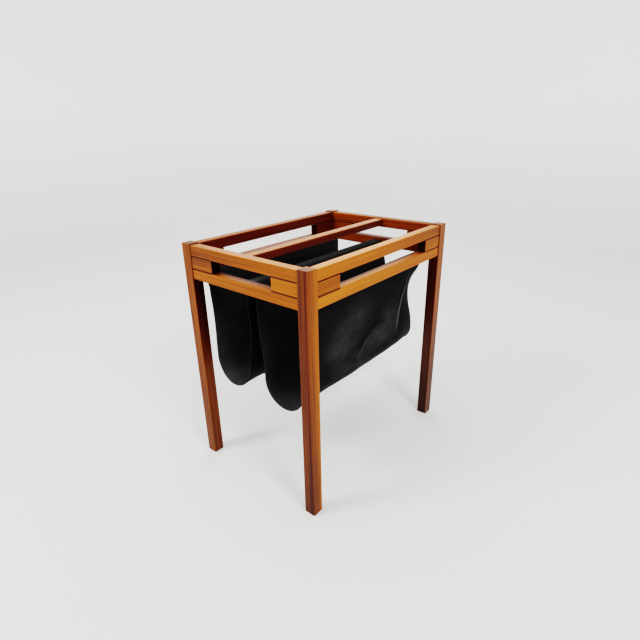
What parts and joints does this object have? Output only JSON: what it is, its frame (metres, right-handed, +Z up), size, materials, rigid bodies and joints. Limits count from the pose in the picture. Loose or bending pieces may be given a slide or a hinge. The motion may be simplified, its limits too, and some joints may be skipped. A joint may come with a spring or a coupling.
{
  "type": "magazine rack",
  "caption": "Low wooden rack on square legs, with doubled rails held apart by spacer blocks, a middle bar and a black leather sling that hangs in pockets for magazines.",
  "frame": {"origin": "on the floor, under the middle of the rack", "axes": "+Z up, +X along the rack to the right as seen from its front, +Y from the front to the back"},
  "size_m": [0.426, 0.3, 0.45],
  "materials": {
    "frame_wood": "oiled satin, straight grain",
    "dowel_wood": "bare, smooth turned",
    "leather": "matte black, worn"
  },
  "bodies": {
    "root": {"leg_front_left": "frame_wood", "leg_front_right": "frame_wood", "leg_back_left": "frame_wood", "leg_back_right": "frame_wood", "top_rail_front": "frame_wood", "top_rail_back": "frame_wood", "top_rail_left": "frame_wood", "top_rail_right": "frame_wood", "lower_rail_front": "frame_wood", "lower_rail_back": "frame_wood", "lower_rail_left": "frame_wood", "lower_rail_right": "frame_wood", "spacer_front_left": "frame_wood", "spacer_front_right": "frame_wood", "spacer_back_left": "frame_wood", "spacer_back_right": "frame_wood", "spacer_left_front": "frame_wood", "spacer_left_back": "frame_wood", "spacer_right_front": "frame_wood", "spacer_right_back": "frame_wood", "top_bar": "frame_wood", "lower_bar": "frame_wood", "hanging_rod_front": "dowel_wood", "hanging_rod_back": "dowel_wood", "long_rail_dowels": "dowel_wood", "short_rail_dowels": "dowel_wood", "spacer_dowels": "dowel_wood", "bar_dowels": "dowel_wood", "sling": "leather"}
  },
  "joints": []
}
